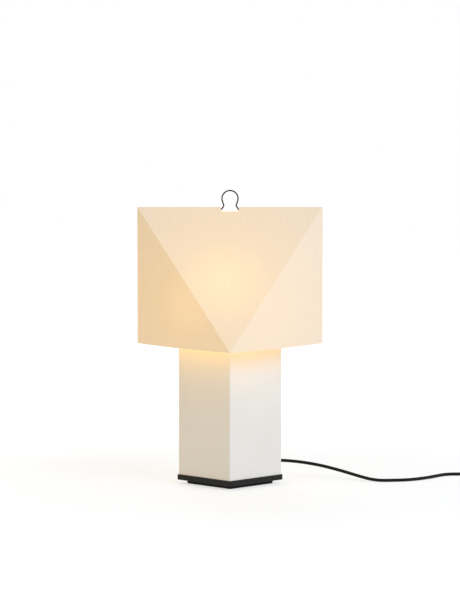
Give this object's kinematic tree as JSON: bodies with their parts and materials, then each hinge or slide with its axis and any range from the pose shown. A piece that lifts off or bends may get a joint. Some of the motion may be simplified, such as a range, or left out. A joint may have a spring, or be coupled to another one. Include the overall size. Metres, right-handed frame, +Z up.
{
  "type": "folded paper table lamp",
  "caption": "Table lamp: square column on a weighted foot, folded paper shade on a ridge frame with a wire clip, textile cord, switch and plug.",
  "frame": {"origin": "on the floor, under the middle of the foot", "axes": "+Z up, +X along the shade's ridge, -Y towards the front corner of the column and of the shade's lower edge"},
  "size_m": [0.7892, 0.3394, 0.5412],
  "materials": {
    "foot_rubber": "moulded, matt black",
    "black_steel": "powder coated, satin black",
    "zinc_steel": "zinc plated",
    "column_paint": "fine-textured powder coat, warm white",
    "shade_paper": "stiff laid paper, uncoated, lets light through",
    "clip_steel": "spring wire, black",
    "frame_steel": "thin white enamel",
    "tip_rubber": "soft, off-white",
    "holder_plastic": "moulded, white",
    "ceramic": "glazed white",
    "brass": "bright",
    "sleeve_nickel": "nickel plated",
    "bulb_black": "black vitrite",
    "bulb_metal": "rolled thread",
    "bulb_opal": "opal white",
    "bulb_clear": "clear",
    "filament": "phosphor coated",
    "black_plastic": "moulded, black",
    "cord_textile": "braided, black",
    "pin_metal": "nickel plated"
  },
  "bodies": {
    "base": {"foot_pad": "foot_rubber", "base_plate": "black_steel", "base_screws": "zinc_steel", "column_shell": "column_paint", "rivet_nuts": "zinc_steel", "column_cap": "column_paint", "cap_screws": "zinc_steel", "harp_left": "frame_steel", "harp_right": "frame_steel", "harp_saddle": "frame_steel", "spreader": "frame_steel", "spreader_tips": "tip_rubber", "threaded_nipple": "zinc_steel", "nipple_washer": "zinc_steel", "nipple_nut": "zinc_steel", "holder_cap": "holder_plastic", "holder_insert": "ceramic", "terminal_screws": "brass", "centre_contact": "brass", "thread_sleeve": "sleeve_nickel", "holder_shell": "holder_plastic", "shade_ring": "holder_plastic", "strain_relief": "black_plastic", "gland_nut": "black_plastic", "cord_anchor_block": "black_plastic", "cord_anchor_bar": "black_plastic", "cord_anchor_screws": "zinc_steel", "inner_lead": "cord_textile", "cord_lead": "cord_textile", "cord_link": "cord_textile", "cord_coil": "cord_textile", "cord_end": "cord_textile", "switch_base": "black_plastic", "switch_cover": "black_plastic", "switch_screws": "zinc_steel", "plug_body": "black_plastic", "plug_pins": "pin_metal", "plug_pin_sleeves": "black_plastic"},
    "shade": {"shade_sheet": "shade_paper"},
    "clip": {"ridge_clip": "clip_steel"},
    "bulb": {"bulb_contact": "zinc_steel", "bulb_insulator": "bulb_black", "bulb_screw_cap": "bulb_metal", "bulb_globe": "bulb_opal", "bulb_stem": "bulb_clear", "bulb_filaments": "filament"},
    "rocker": {"switch_rocker": "black_plastic"}
  },
  "joints": [
    {"name": "shade_lift", "type": "slide", "parent": "base", "child": "shade", "axis": [0, 0, 1], "range_m": [0, 0.3]},
    {"name": "clip_swing", "type": "hinge", "parent": "base", "child": "clip", "pos_m": [0, 0, 0.50475], "axis": [1, 0, 0], "range_deg": [-100, 100]},
    {"name": "bulb_turn", "type": "hinge", "parent": "base", "child": "bulb", "pos_m": [0, 0, 0.3], "axis": [0, 0, 1], "range_deg": [0, 1440]},
    {"name": "switch_rock", "type": "hinge", "parent": "base", "child": "rocker", "pos_m": [0.501, 0.1065, 0.0104], "axis": [0, 1, 0], "range_deg": [-14, 0]}
  ]
}
